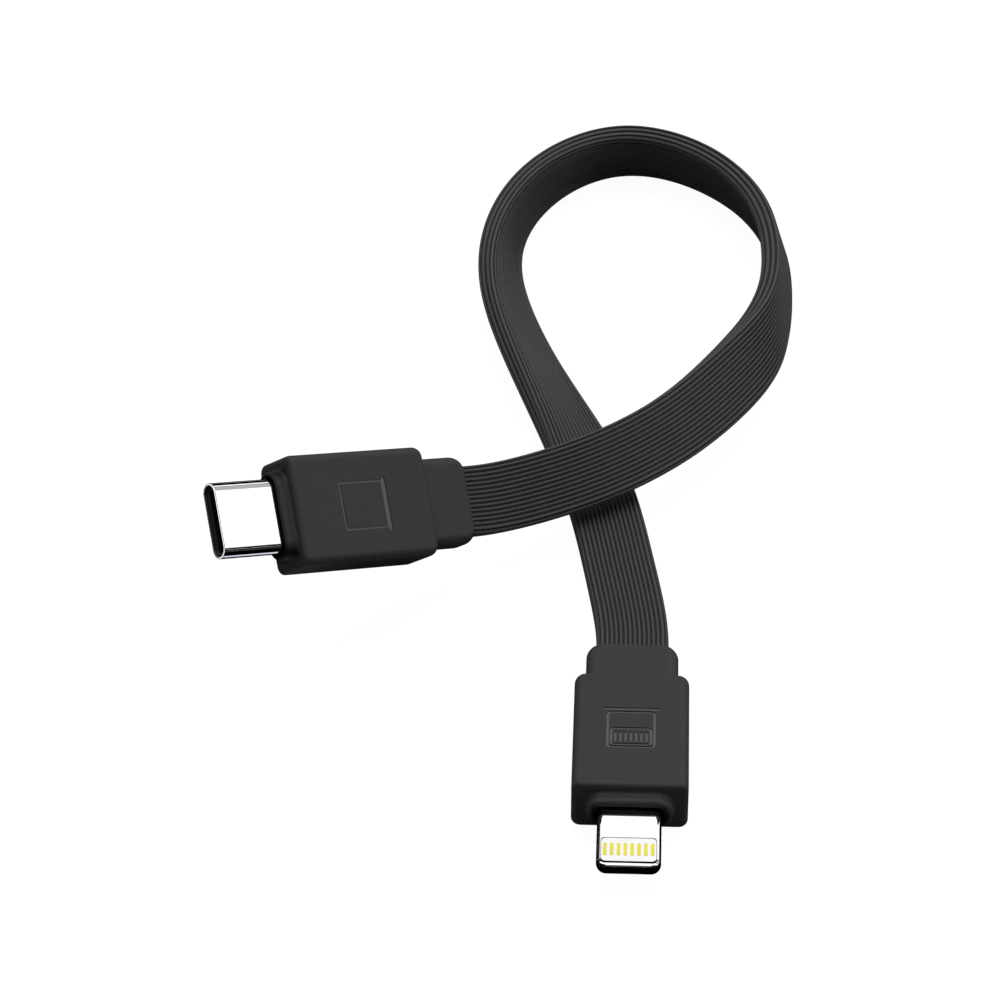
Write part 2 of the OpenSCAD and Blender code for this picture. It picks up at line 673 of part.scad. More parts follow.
// One face's contacts: round-ended gold pads that stand on the board and come level with the steel.
module blade_contact_row(side) {
    z0 = blade_board_t/2;
    mirror([0, 0, side > 0 ? 0 : 1]) for (i = [0:blade_pins - 1])
        translate([blade_pin_x, pin_y(i, blade_pins, blade_pitch), z0])
            linear_extrude(height = blade_t/2 - z0)
                round_rect(blade_pin_l, blade_pin_w, blade_pin_w/2 - eps);
}

module blade_contacts_top() { color([0.95, 0.8, 0.3]) place_blade() blade_contact_row(1); }
module blade_contacts_bottom() { color([0.95, 0.8, 0.3]) place_blade() blade_contact_row(-1); }

ribbon_jacket();
power_core();
ground_core();
data_core_a();
data_core_b();
oval_overmould();
oval_inner_mould();
oval_can_upper();
oval_can_lower();
oval_board();
oval_chip();
oval_capacitors();
oval_solder();
oval_shell();
oval_housing();
upper_contacts();
lower_contacts();
upper_tails();
lower_tails();
latch_plate();
latch_arm_left();
latch_arm_right();
upper_ground_spring();
lower_ground_spring();
blade_overmould();
blade_inner_mould();
blade_can_upper();
blade_can_lower();
blade_board();
blade_chip();
blade_capacitors();
blade_solder();
blade_frame();
blade_insert();
blade_contacts_top();
blade_contacts_bottom();
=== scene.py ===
# %% [markdown]
# # A short flat charging cable
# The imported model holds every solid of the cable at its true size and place, with plain surfaces.
# This lesson loads it as a fixed frame and makes the surfaces that are seen: the ribbed ribbon, the
# two moulded plug bodies, the bright metal, the gold contacts, and a finish for every piece inside.
# Numbers are in metres. A cell that models a plug works in millimetres along the plug's own axis,
# where sizes are easy to read, and then puts the finished mesh in its place on the cable.

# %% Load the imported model
import json
import math

import bmesh
import bpy
from mathutils import Matrix, Vector


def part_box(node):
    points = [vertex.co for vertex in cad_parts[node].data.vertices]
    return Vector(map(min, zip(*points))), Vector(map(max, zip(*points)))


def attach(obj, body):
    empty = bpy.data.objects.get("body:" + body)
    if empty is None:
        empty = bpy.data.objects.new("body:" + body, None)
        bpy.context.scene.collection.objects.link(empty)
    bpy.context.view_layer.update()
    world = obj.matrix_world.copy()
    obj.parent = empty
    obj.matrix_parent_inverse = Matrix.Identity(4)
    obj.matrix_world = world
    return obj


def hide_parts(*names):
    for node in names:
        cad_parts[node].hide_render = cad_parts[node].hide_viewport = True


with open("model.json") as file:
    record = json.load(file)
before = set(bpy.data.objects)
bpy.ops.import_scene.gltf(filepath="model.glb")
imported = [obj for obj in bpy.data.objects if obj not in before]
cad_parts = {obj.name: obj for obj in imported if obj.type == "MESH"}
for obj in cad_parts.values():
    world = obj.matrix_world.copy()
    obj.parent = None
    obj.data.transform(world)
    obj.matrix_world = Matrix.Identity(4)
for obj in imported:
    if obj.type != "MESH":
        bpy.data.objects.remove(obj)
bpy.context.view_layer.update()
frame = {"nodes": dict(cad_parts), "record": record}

MM = 0.001

# %% [markdown]
# ## Camera
# A long lens, half a metre away, looks down on the cable at 39 degrees, so the plugs keep nearly
# parallel edges. A short lens close by would frame it as well, but it would swell the near plug.
# The place is worked out from the point looked at, which is easier to change than three turns.

# %% Camera
view_point = Vector((-0.01535, 0.04515, 0))
view_distance, view_up, view_round = 0.52, math.radians(39), math.radians(2)
camera = bpy.data.objects.new("camera", bpy.data.cameras.new("camera"))
camera.data.lens, camera.data.sensor_width = 164.88, 36
camera.data.clip_start, camera.data.clip_end = 0.01, 20
camera.location = view_point + view_distance*Vector((
    math.sin(view_round)*math.cos(view_up), -math.cos(view_round)*math.cos(view_up), math.sin(view_up)))
camera.rotation_euler = (math.pi/2 - view_up, 0, view_round)
bpy.context.scene.collection.objects.link(camera)
bpy.context.scene.camera = camera
print("camera at", [round(v, 4) for v in camera.location])

# %% [markdown]
# ## The ribbon's route
# The ribbon is a strip of rubber with flat faces, about 204 mm long. It leaves the blade plug lying
# face down, stands up on its edge in the loop, and leans over where it crosses itself. So each point
# of the route holds a place and a lean. A smooth spline runs through the pull of the points: a
# Bezier curve with tilts could do it, but its twist between two points is hard to foresee.

# %% Points of the route: x, y, z in metres and the lean in degrees
BLADE_EXIT = Vector((0, 0.01495, 0.0031))
OVAL_EXIT = Vector((-0.0193, 0.034, 0.0086))
OVAL_TURN = (Matrix.Rotation(math.radians(-146), 4, "Z") @ Matrix.Rotation(math.radians(-19), 4, "Y")
             @ Matrix.Rotation(math.radians(-45), 4, "X"))
OVAL_WAY = (OVAL_TURN @ Vector((1, 0, 0))).normalized()
end_pull = 0.005

route = [
    (*BLADE_EXIT, -90), (BLADE_EXIT.x, BLADE_EXIT.y + end_pull, BLADE_EXIT.z, -90),
    (-0.0016, 0.0306, 0.0024, -95), (-0.00375, 0.0444, 0.0017, -90), (-0.0075, 0.0551, 0.00238, -68),
    (-0.0126, 0.0672, 0.0032, -52), (-0.0165, 0.0798, 0.0036, -42), (-0.01695, 0.0918, 0.0041, -11),
    (-0.0123, 0.1039, 0.004, 4), (-0.0024, 0.1115, 0.00397, 20), (0.0087, 0.1065, 0.00397, 17),
    (0.0157, 0.0961, 0.00397, 20), (0.0167, 0.0823, 0.0045, 11), (0.0155, 0.0707, 0.0055, 17),
    (0.0114, 0.0606, 0.0065, 45), (0.0042, 0.0492, 0.007, 50), (-0.0055, 0.0415, 0.0069, 45),
    (*(OVAL_EXIT - end_pull*OVAL_WAY), 45), (*OVAL_EXIT, 45)]
print(len(route), "points in the ribbon's route")


# %% A smooth line through the route
def blend_four(four, u):
    """A point of the smooth line between the middle two of four route points."""
    share = ((1 - u)**3, 3*u**3 - 6*u*u + 4, 3*u + 3*u*u - 3*u**3 + 1, u**3)
    return Vector([sum(s*p[k] for s, p in zip(share, four))/6 for k in range(4)])


def smooth_line(points, steps):
    """The route as many short steps, with its first and last points kept."""
    p = [Vector(q) for q in points]
    p = [2*p[0] - p[1]] + p + [2*p[-1] - p[-2]]
    line = [blend_four(p[i:i + 4], k/steps) for i in range(len(points) - 1) for k in range(steps)]
    return line + [Vector(points[-1])]


STEPS_BETWEEN = 18
line = smooth_line(route, STEPS_BETWEEN)
centres = [Vector(p[:3]) for p in line]
ribbon_length = sum((b - a).length for a, b in zip(centres, centres[1:]))
print(f"ribbon: {len(line)} stations, {ribbon_length/MM:.1f} mm long")

# %% [markdown]
# ## The ribbon's section
# Each flat face has thirteen narrow grooves. They go on round the corners and over both thin edges,
# where four rounded ridges are left. They are part of the outline that is swept along the route,
# because they cast shadows and show in the silhouette, which a bump pattern can't do.

# %% Outline of the ribbon, in millimetres across and out
RIBBON_W, RIBBON_T, CORNER_R = 7.8, 2.4, 0.55
GROOVE_DEPTH, GROOVE_HALF, LIP = 0.22, 0.12, 0.07
FACE_PITCH, EDGE_PITCH = 0.5, 0.65
FLAT, BEND = RIBBON_W/2 - CORNER_R, math.pi/2*CORNER_R
EDGE_MIDDLE = FLAT + BEND + RIBBON_T/2 - CORNER_R


def spot(way):
    """Place and outward direction on the plain outline, a way along it from the top face's middle."""
    if way <= FLAT:
        return way, RIBBON_T/2, 0.0, 1.0
    if way <= FLAT + BEND:
        a = math.pi/2 - (way - FLAT)/CORNER_R
        across, out = math.cos(a), math.sin(a)
        return FLAT + CORNER_R*across, RIBBON_T/2 - CORNER_R + CORNER_R*out, across, out
    return RIBBON_W/2, RIBBON_T/2 - CORNER_R - (way - FLAT - BEND), 1.0, 0.0


def quarter_outline():
    """From the top face's middle to the right edge's middle: place, outward direction, depth share."""
    middles = [FACE_PITCH*k for k in range(7)] + [EDGE_MIDDLE - EDGE_PITCH*k for k in (2, 1, 0)]
    profile = ((-GROOVE_HALF - LIP, 0.0), (-GROOVE_HALF, 0.24), (-0.6*GROOVE_HALF, 1.0),
               (0.6*GROOVE_HALF, 1.0), (GROOVE_HALF, 0.24), (GROOVE_HALF + LIP, 0.0))
    ways = [(middle + step, share) for middle in middles for step, share in profile]
    points = [(*spot(way), share) for way, share in ways if 0 < way < EDGE_MIDDLE]
    return points + [(*spot(EDGE_MIDDLE), 1.0)]


quarter = quarter_outline()
right = quarter + [(x, -z, nx, -nz, d) for x, z, nx, nz, d in quarter[-2::-1]]
outline = right + [(-x, z, -nx, nz, d) for x, z, nx, nz, d in right[::-1]]
print(len(outline), "points round the ribbon")


# %% [markdown]
# ## Sweeping the ribbon
# At every station the outline is turned by the lean about the direction of travel. The mesh is made
# by code: a sweep with a changing lean is a table of points, and code writes tables well. Each point
# also keeps how deep it lies in a groove, which the finish reads for painted shade, and how far along
# the ribbon it is, which it reads for the streaks.

# %% Stations and mesh of the ribbon
def station(i):
    """Centre, across and out directions of station i."""
    if i in (0, len(line) - 1):
        way = OVAL_WAY if i else Vector((0, 1, 0))
    else:
        way = (centres[i + 1] - centres[i - 1]).normalized()
    level = Vector((0, 0, 1)).cross(way).normalized()
    up, lean = way.cross(level), math.radians(line[i][3])
    return (centres[i], up*math.cos(lean) - level*math.sin(lean), level*math.cos(lean) + up*math.sin(lean))


def soft_step(value, start, end):
    """0 at start and before it, 1 at end and past it, with a smooth change between them."""
    t = min(1, max(0, (value - start)/(end - start)))
    return t*t*(3 - 2*t)


# The shares of the route where the inside bend starts and ends, how far it closes a groove, between
# which places across the ribbon, how much painted shade a closed groove keeps, and the streaks' step
# across.
BEND_STARTS, BEND_ENDS = (0.16, 0.3), (0.68, 0.8)
MOST_CLOSED, CLOSED_BAND, CLOSED_SHADE = 0.75, (2.95, 1.9), 0.4
LAY_STEP = 0.0001


def squeezed(i):
    """How far the bend closes the grooves on the loop's inside at station i, from 0 to 1."""
    share = i/(len(line) - 1)
    return soft_step(share, *BEND_STARTS)*(1 - soft_step(share, *BEND_ENDS))


def flattened(i, x, nz):
    """How much shallower a groove is at station i: the bend closes those of the inner face's middle."""
    return MOST_CLOSED*squeezed(i)*(nz < -0.5)*soft_step(abs(x), *CLOSED_BAND)


def swept_tube(name, section, bore):
    """A tube with a bore along the stations, whose grooves are shallower on the loop's inside."""
    points, depth, lay = [], [], []
    for shape in (section, bore):
        for i in range(len(line)):
            centre, across, out = station(i)
            for k, (x, z, nx, nz, share) in enumerate(shape):
                closed = flattened(i, x, nz)
                share *= 1 - closed
                cut = GROOVE_DEPTH*share
                points.append(centre + across*(x - nx*cut)*MM + out*(z - nz*cut)*MM)
                # Painted shade in a groove follows its depth, and a closed groove keeps some of it.
                depth.append(max(share, CLOSED_SHADE*closed))
                lay += [i*ribbon_length/len(line), k*LAY_STEP, 0.0]
    faces = []
    for base, n, inward in ((0, len(section), False), (len(section)*len(line), len(bore), True)):
        for i in range(len(line) - 1):
            for k in range(n):
                a, b = base + i*n + k, base + i*n + (k + 1) % n
                quad = (a, b, b + n, a + n)
                faces.append(quad if inward else quad[::-1])
    mesh = bpy.data.meshes.new(name)
    mesh.from_pydata(points, [], faces)
    mesh.attributes.new("groove_depth", "FLOAT", "POINT").data.foreach_set("value", depth)
    mesh.attributes.new("lay", "FLOAT_VECTOR", "POINT").data.foreach_set("vector", lay)
    tube = bpy.data.objects.new(name, mesh)
    bpy.context.scene.collection.objects.link(tube)
    return tube


BORE_W, BORE_T = 5.4, 1.5
bore = [((BORE_W - BORE_T)/2*side + BORE_T/2*math.cos(a), BORE_T/2*math.sin(a), 0, 0, 0)
        for side, start in ((1, 90), (-1, 270)) for a in (math.radians(start - 20*k) for k in range(10))]
ribbon = swept_tube("ribbon", outline, bore)
print("ribbon:", len(ribbon.data.polygons), "faces")


# %% [markdown]
# ## Small helpers for modelling by hand
# Blender's operators work on what is selected and active, and the loaded nodes start out selected.
# So each helper first clears the selection, and picks edges or faces by where they are. That reads
# like handwork with the mouse, and it gives the same result on every run.

# %% Selection helpers
def only(piece):
    """Makes piece the one selected and active object, in object mode."""
    if bpy.context.mode != "OBJECT":
        bpy.ops.object.mode_set(mode="OBJECT")
    bpy.ops.object.select_all(action="DESELECT")
    if piece:
        piece.select_set(True)
        bpy.context.view_layer.objects.active = piece


def pick(piece, kind, wanted):
    """In edit mode, selects the edges (EDGE) or faces (FACE) that pass the test, and counts them."""
    only(piece)
    bpy.ops.object.mode_set(mode="EDIT")
    bpy.ops.mesh.select_mode(type=kind)
    bpy.ops.mesh.select_all(action="DESELECT")
    shape = bmesh.from_edit_mesh(piece.data)
    found = [item for item in (shape.edges if kind == "EDGE" else shape.faces) if wanted(item)]
    for item in found:
        item.select_set(True)
    bmesh.update_edit_mesh(piece.data)
    return len(found)


def pick_edges(piece, wanted):
    """Selects the edges whose two ends pass the test, and counts them."""
    return pick(piece, "EDGE", lambda edge: wanted(edge.verts[0].co, edge.verts[1].co))


def pick_faces(piece, wanted):
    """Selects the faces whose centre and normal pass the test, and counts them."""
    return pick(piece, "FACE", lambda face: wanted(face.calc_center_median(), face.normal))


# %% Close the ribbon's two ends
def ring_edge(i):
    """A test for the edges that lie in the end face at station i."""
    centre, reach, off = centres[i], 0.005, 1e-7
    way = OVAL_WAY if i else Vector((0, 1, 0))
    return lambda a, b: (abs((a - centre).dot(way)) < off and abs((b - centre).dot(way)) < off
                         and (a - centre).length < reach)


for i in (0, len(line) - 1):
    count = pick_edges(ribbon, ring_edge(i))
    bpy.ops.mesh.fill(use_beauty=False)
    print("end face closed over", count, "edges")
bpy.ops.object.mode_set(mode="OBJECT")
bpy.ops.object.shade_smooth_by_angle(angle=math.radians(50))
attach(ribbon, "cable")
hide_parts("ribbon_jacket")


# %% Blocks, rounding and cutting
def add_block(name, x0, x1, width, height):
    """A block along X from x0 to x1, centred on the axis."""
    only(None)
    bpy.ops.mesh.primitive_cube_add(size=1, location=((x0 + x1)/2, 0, 0), scale=(x1 - x0, width, height))
    block = bpy.context.object
    block.name = name
    bpy.ops.object.transform_apply(location=True, rotation=True, scale=True)
    return block


def round_edges(piece, wanted, radius, steps):
    """Rounds the picked edges."""
    pick_edges(piece, wanted)
    bpy.ops.mesh.bevel(offset=radius, offset_type="OFFSET", segments=steps, profile=0.5,
                       affect="EDGES", clamp_overlap=False)
    bpy.ops.object.mode_set(mode="OBJECT")


def is_upright(a, b):
    """A test for the edges of a block that run up and down."""
    return abs(a.z - b.z) > 0.4


def apply_modifier(piece, kind, **settings):
    """Adds a modifier of that kind to piece with its settings, and applies it."""
    only(piece)
    modifier = piece.modifiers.new("step", kind)
    for key, value in settings.items():
        setattr(modifier, key, value)
    bpy.ops.object.modifier_apply(modifier=modifier.name)


def combine(piece, tool, how):
    """Joins tool to piece (UNION) or cuts it out (DIFFERENCE), and removes the tool."""
    apply_modifier(piece, "BOOLEAN", object=tool, operation=how, solver="MANIFOLD")
    bpy.data.objects.remove(tool, do_unlink=True)


# %% [markdown]
# ## A skin through rings
# A moulded body is one flowing surface from end to end. It is built like the hull of a boat: rounded
# rectangles are set up across the axis, each with its own width, height and corner radius, and one
# bridge lays a skin over them. Blocks that are joined and bevelled afterwards make folded faces
# where a small radius meets a larger one, and every fold is a black spot in the picture. No corner
# takes up a ring's whole side, so every ring has the same number of points.

# %% Rings and skins
RING_STEPS, LEAST_SIDE = 8, 0.04


def skin(name, rings):
    """A skin over rounded rectangles (x, half width, half height, corner radius), in order of x."""
    only(None)
    for number, (x, half_w, half_h, corner) in enumerate(rings):
        bpy.ops.mesh.primitive_plane_add(size=1, location=(x, 0, 0), rotation=(0, math.pi/2, 0))
        if not number:
            piece = bpy.context.object
            piece.name = name
            bpy.ops.object.transform_apply(location=True, rotation=True, scale=True)
            bpy.ops.object.mode_set(mode="EDIT")
            bpy.ops.mesh.select_mode(type="VERT")
            bpy.ops.mesh.select_all(action="SELECT")
        bpy.ops.transform.resize(value=(1, 2*half_w, 2*half_h), center_override=(x, 0, 0))
        bpy.ops.mesh.bevel(offset=min(corner, half_h - LEAST_SIDE), segments=RING_STEPS, affect="VERTICES",
                           clamp_overlap=False)
    bpy.ops.mesh.select_all(action="SELECT")
    bpy.ops.mesh.delete(type="ONLY_FACE")
    bpy.ops.mesh.select_all(action="SELECT")
    bpy.ops.mesh.bridge_edge_loops()
    bpy.ops.object.mode_set(mode="OBJECT")
    return piece


def quarter_turn(steps, share=1.0):
    """Angles from 0 up to that share of a quarter turn."""
    return [math.pi/2*share*k/steps for k in range(steps + 1)]


def closed_end(x, forward, width, height, plan_r, end_r, corner, steps=7):
    """Rings of a closed end with its flat face at x; its corners are round in plan, by plan_r."""
    rings = []
    for a in quarter_turn(steps):
        dx = plan_r*(1 - math.cos(a))
        rings.append((x + forward*dx, width/2 - plan_r*(1 - math.sin(a)),
                      height/2 - end_r + math.sqrt(end_r**2 - max(end_r - dx, 0)**2),
                      corner*(0.6 + 0.4*math.sin(a))))
    return rings[::forward]


def rim(x1, width, height, corner, radius, steps, share=1.0):
    """Rings of a rounded front rim that ends at x1, or a part of it."""
    rings = []
    for a in quarter_turn(steps, share):
        off = radius*(1 - math.cos(a))
        rings.append((x1 - radius + radius*math.sin(a), width/2 - off, height/2 - off, corner - off*0.5))
    return rings


def fillet(x, width, height, corner, radius, forward):
    """Rings of a hollow fillet where a bar meets a wall at x: forward is 1 in front of it, -1 behind."""
    rings = []
    for a in quarter_turn(5):
        out = radius*(1 - math.sin(a))
        rings.append((x + forward*radius*(1 - math.cos(a)), width/2 + out, height/2 + out, corner + out))
    return rings[::forward]


# %% [markdown]
# ## The moulded plug bodies
# A plug's body, the boot behind it and the collar in front are one shot of rubber. The outer skin runs
# from the boot's flat rear face over both fillets to the collar's rim. The inner skin comes back from
# the pocket round the metal through the space for the inner mould to the way in for the cores. Rings
# that belong in one plane stand a thousandth of a millimetre apart, so the bridge keeps their order.

# %% Sizes of a plug, in millimetres along its axis from the ribbon's end face
BOOT_L, BODY_L, COLLAR_L = 6.2, 17.5, 1.4
BODY_X0, BODY_X1 = BOOT_L, BOOT_L + BODY_L
FACE_X = BODY_X1 + COLLAR_L
BODY_W, BODY_T, BOOT_W, BOOT_T = 12.2, 6.2, 9.9, 3.8
CAVITY_X0, CAVITY_X1 = BODY_X0 + 1.2, BODY_X1 - 2.0
SHELL_W, SHELL_T, BLADE_W, BLADE_T = 8.25, 2.4, 6.7, 1.5
BODY_R, BOOT_R, FRONT_R, END_R, BODY_PLAN_R, BOOT_PLAN_R = 0.95, 1.1, 0.55, 0.4, 0.9, 1.4
BOOT_FILLET, COLLAR_FILLET, POCKET_GAP, POCKET_DEPTH, SNUG, APART = 0.22, 0.4, 0.25, 0.9, 0.05, 0.001
# Half width, half height and corner radius of the way in for the cores and of the room inside, and
# how near to the metal the painted shade round it is at its darkest.
CORES_WAY, CAVITY = (2.7, 0.75, 0.7), (5.2, 2.2, 0.3)
SHADE_FULL = 0.25
box_low, box_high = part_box("blade_overmould")
print("packed blade body, mm:", [round((b - a)/MM, 2) for a, b in zip(box_low, box_high)])


# %% One plug body
def plug_body(name, metal_w, metal_t, collar_w, collar_t, collar_r, lip, shade_w):
    """Boot, body and collar in one piece, hollow where the insides go, with painted shade round the metal.
    """
    wall = (collar_t - metal_t)/2 - POCKET_GAP
    share = math.acos(1 - (wall - lip)/collar_r)/(math.pi/2)
    side = collar_t/2 - SNUG
    outer = closed_end(0, 1, BOOT_W, BOOT_T, BOOT_PLAN_R, END_R, BOOT_R)
    outer += fillet(BODY_X0 - APART, BOOT_W, BOOT_T, BOOT_R, BOOT_FILLET, -1)
    outer += closed_end(BODY_X0, 1, BODY_W, BODY_T, BODY_PLAN_R, END_R, BODY_R)
    outer += rim(BODY_X1, BODY_W, BODY_T, BODY_R, FRONT_R, 5)
    outer += fillet(BODY_X1 + APART, collar_w, collar_t, side, COLLAR_FILLET, 1)
    outer += rim(FACE_X, collar_w, collar_t, side, collar_r, 8, share)
    mouth_x = outer[-1][0]
    pocket_w, pocket_t = metal_w/2 + POCKET_GAP, metal_t/2 + POCKET_GAP
    metal = (metal_w/2 + SNUG, metal_t/2 + SNUG, metal_t/2)
    inner = [outer[0], (APART, *CORES_WAY), (CAVITY_X0, *CORES_WAY), (CAVITY_X0 + APART, *CAVITY),
             (CAVITY_X1, *CAVITY), (CAVITY_X1 + APART, *metal), (FACE_X - POCKET_DEPTH, *metal),
             (FACE_X - POCKET_DEPTH + APART, pocket_w, pocket_t, pocket_t - SNUG)]
    for a in quarter_turn(4)[:-1]:
        out = lip*(1 - math.cos(a))
        inner.append((mouth_x - lip + lip*math.sin(a), pocket_w + out, pocket_t + out, pocket_t - SNUG))
    body, lining = skin(name, outer), skin("lining", inner + [outer[-1]])
    # Painted shade: the collar darkens towards the metal, and the whole inner skin is painted at its
    # darkest.
    shade = [soft_step(max(abs(v.co.y) - metal_w/2, abs(v.co.z) - metal_t/2), shade_w, SHADE_FULL)
             *(v.co.x > BODY_X1) for v in body.data.vertices]
    for piece, values in ((body, shade), (lining, [1.0]*len(lining.data.vertices))):
        piece.data.attributes.new("slot_shade", "FLOAT", "POINT").data.foreach_set("value", values)
    only(body)
    lining.select_set(True)
    bpy.ops.object.join()
    bpy.ops.object.mode_set(mode="EDIT")
    bpy.ops.mesh.select_all(action="SELECT")
    bpy.ops.mesh.remove_doubles(threshold=APART/10)
    bpy.ops.mesh.normals_make_consistent(inside=False)
    bpy.ops.object.mode_set(mode="OBJECT")
    return body


oval_body = plug_body("oval_plug_body", SHELL_W, SHELL_T, collar_w=9.75, collar_t=3.9, collar_r=0.5,
                      lip=0.15, shade_w=0.9)
blade_body = plug_body("blade_plug_body", BLADE_W, BLADE_T, collar_w=9.2, collar_t=3.8, collar_r=0.55,
                       lip=0.35, shade_w=0.75)
print("faces:", len(oval_body.data.polygons), "and", len(blade_body.data.polygons))


# %% [markdown]
# ## Line icons
# Each body carries a plain line icon pressed into its top face: a screen over a bar on the oval
# plug, and the outline of a contact panel on the blade plug. The lines have flat floors with a painted
# sheen, paler than the rubber round them, and walls with painted shade. No words stand beside them.

# %% Tools for the grooves
ICON_DEPTH, TOOL_H = 0.1, 0.5
ICON_FLOOR = BODY_T/2 - ICON_DEPTH


def line_tool(x0, y0, x1, y1, width):
    """A bar with a flat foot, from one point of the top face to the other."""
    only(None)
    way = Vector((x1 - x0, y1 - y0, 0))
    bpy.ops.mesh.primitive_cube_add(
        size=1, location=((x0 + x1)/2, (y0 + y1)/2, ICON_FLOOR + TOOL_H/2),
        rotation=(0, 0, math.atan2(way.y, way.x)), scale=(way.length, width, TOOL_H))
    return bpy.context.object


def frame_tool(x0, x1, half, corner, width):
    """A frame with a flat foot and rounded corners; the sizes are those of its outside."""
    only(None)
    bpy.ops.mesh.primitive_plane_add(size=1, location=((x0 + x1)/2, 0, ICON_FLOOR))
    sheet = bpy.context.object
    sheet.scale = (x1 - x0, 2*half, 1)
    bpy.ops.object.transform_apply(location=True, rotation=True, scale=True)
    bpy.ops.object.mode_set(mode="EDIT")
    bpy.ops.mesh.select_all(action="SELECT")
    bpy.ops.mesh.bevel(offset=corner, segments=5, affect="VERTICES")
    bpy.ops.mesh.select_mode(type="FACE")
    bpy.ops.mesh.select_all(action="SELECT")
    bpy.ops.mesh.inset(thickness=width)
    bpy.ops.mesh.delete(type="FACE")
    bpy.ops.mesh.select_all(action="SELECT")
    bpy.ops.mesh.extrude_region_move(TRANSFORM_OT_translate={"value": (0, 0, TOOL_H)})
    bpy.ops.mesh.select_all(action="SELECT")
    bpy.ops.mesh.normals_make_consistent(inside=False)
    bpy.ops.object.mode_set(mode="OBJECT")
    return sheet


# %% Press the icons
def press(body, tools):
    """Cuts the tools out of the body's top face, one after the other, and tidies the faces."""
    for tool in tools:
        combine(body, tool, "DIFFERENCE")
    pick_faces(body, lambda centre, normal: True)
    bpy.ops.mesh.quads_convert_to_tris(quad_method="BEAUTY", ngon_method="BEAUTY")
    bpy.ops.mesh.tris_convert_to_quads(face_threshold=0.02, shape_threshold=0.7)
    bpy.ops.object.mode_set(mode="OBJECT")


screen = frame_tool(12.15, 17.98, 2.7, 0.3, 0.28)
bar = line_tool(12.05, -2.95, 12.05, 3.05, 0.44)
press(oval_body, [screen, bar])
back_line = line_tool(11.92, -2.95, 11.92, 2.9, 0.34)
outer_frame = frame_tool(12.3, 18.02, 2.6, 0.5, 0.28)
inner_frame = frame_tool(14.85, 17.6, 2.22, 0.45, 0.26)
ticks = [line_tool(15.55, 0.55*k, 17.05, 0.55*k, 0.25) for k in range(-3, 4)]
press(blade_body, [back_line, outer_frame, inner_frame, *ticks])
print("icons pressed:", len(oval_body.data.polygons), "and", len(blade_body.data.polygons), "faces")

# %% [markdown]
# ## Placing a finished piece
# Smooth shading alone would bend the light across the large flat faces, so normals are weighted by
# face area, and sharp edges stay sharp. A value on each point tells how rounded the surface is
# there, which the finishes use to make touched edges paler. A tone on each face tells where the
# finishes paint a sheen, on the floors of the icons, and shade, on the walls of grooves and gaps.
# Then the mesh is put in place.

# %% Shade, mark the rounded places and put a piece in its place
PLACES = {
    "blade": Matrix.Translation(BLADE_EXIT) @ Matrix.Rotation(-math.pi/2, 4, "Z") @ Matrix.Scale(MM, 4),
    "oval": Matrix.Translation(OVAL_EXIT) @ OVAL_TURN @ Matrix.Scale(MM, 4),
}


def icon_tone(face):
    """1 on an icon's groove floors, for a painted sheen, -1 on their walls, for painted shade, else 0."""
    floor = abs(face.center.z - ICON_FLOOR) < 0.01 and face.normal.z > 0.9
    wall = ICON_FLOOR + 0.02 < face.center.z < BODY_T/2 - 0.02 and abs(face.normal.z) < 0.3
    return floor - wall


def settle(piece, plug, slot, *nodes, sharp=35, tone=icon_tone):
    """Shades the piece, marks its rounded places and its tones, and puts it on that plug."""
    only(piece)
    bpy.ops.object.shade_smooth_by_angle(angle=math.radians(sharp))
    apply_modifier(piece, "WEIGHTED_NORMAL", keep_sharp=True, weight=90)
    mark = piece.data.attributes.new("rounded", "FLOAT", "POINT")
    for vertex in piece.data.vertices:
        mark.data[vertex.index].value = min(1, 3*(1 - max(abs(v) for v in vertex.normal)))
    tones = piece.data.attributes.new("tone", "FLOAT", "FACE")
    for face in piece.data.polygons:
        tones.data[face.index].value = tone(face)
    piece.data.transform(PLACES[plug])
    piece.data.update()
    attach(piece, "cable")
    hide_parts(*nodes)
    print(piece.name, "settled with", len(piece.data.vertices), "points")


settle(oval_body, "oval", "moulded_elastomer", "oval_overmould")
settle(blade_body, "blade", "moulded_elastomer", "blade_overmould")

# %% [markdown]
# ## The oval shell
# The shell is sheet steel, 0.2 mm thick, drawn into a flat tube and plated. A bar with round sides is
# opened at both ends and given a wall inwards, and the outer edge of its front rim is rounded a
# little. A solid bar with a hole cut in it would have no even wall.

# %% Oval shell
SHELL_X0, SHELL_X1, SHELL_R = 21.2, FACE_X + 7.4, 1.19
shell = add_block("oval_plug_shell", SHELL_X0, SHELL_X1, SHELL_W, SHELL_T)
round_edges(shell, lambda a, b: abs(a.x - b.x) > 1e-3, SHELL_R, 14)
pick_faces(shell, lambda centre, normal: abs(normal.x) > 0.9)
bpy.ops.mesh.delete(type="FACE")
bpy.ops.object.mode_set(mode="OBJECT")
apply_modifier(shell, "SOLIDIFY", thickness=0.2, offset=-1, use_even_offset=True)


def on_rim(point):
    """True on the outer edge of the shell's front rim."""
    out = math.hypot(max(abs(point.y) - (SHELL_W - SHELL_T)/2, 0), point.z)
    return abs(point.x - SHELL_X1) < 1e-4 and out > SHELL_T/2 - 0.1


round_edges(shell, lambda a, b: on_rim(a) and on_rim(b), 0.06, 3)
settle(shell, "oval", "bright_shell", "oval_shell")

# %% [markdown]
# ## The steel blade
# The blade is one plate of steel, rounded all round its edge and nose, with a window in which the
# contact panel sits. It is a skin over rings too, closed at both ends. The flange inside the body is
# added, and the channel for the board and the window are cut.

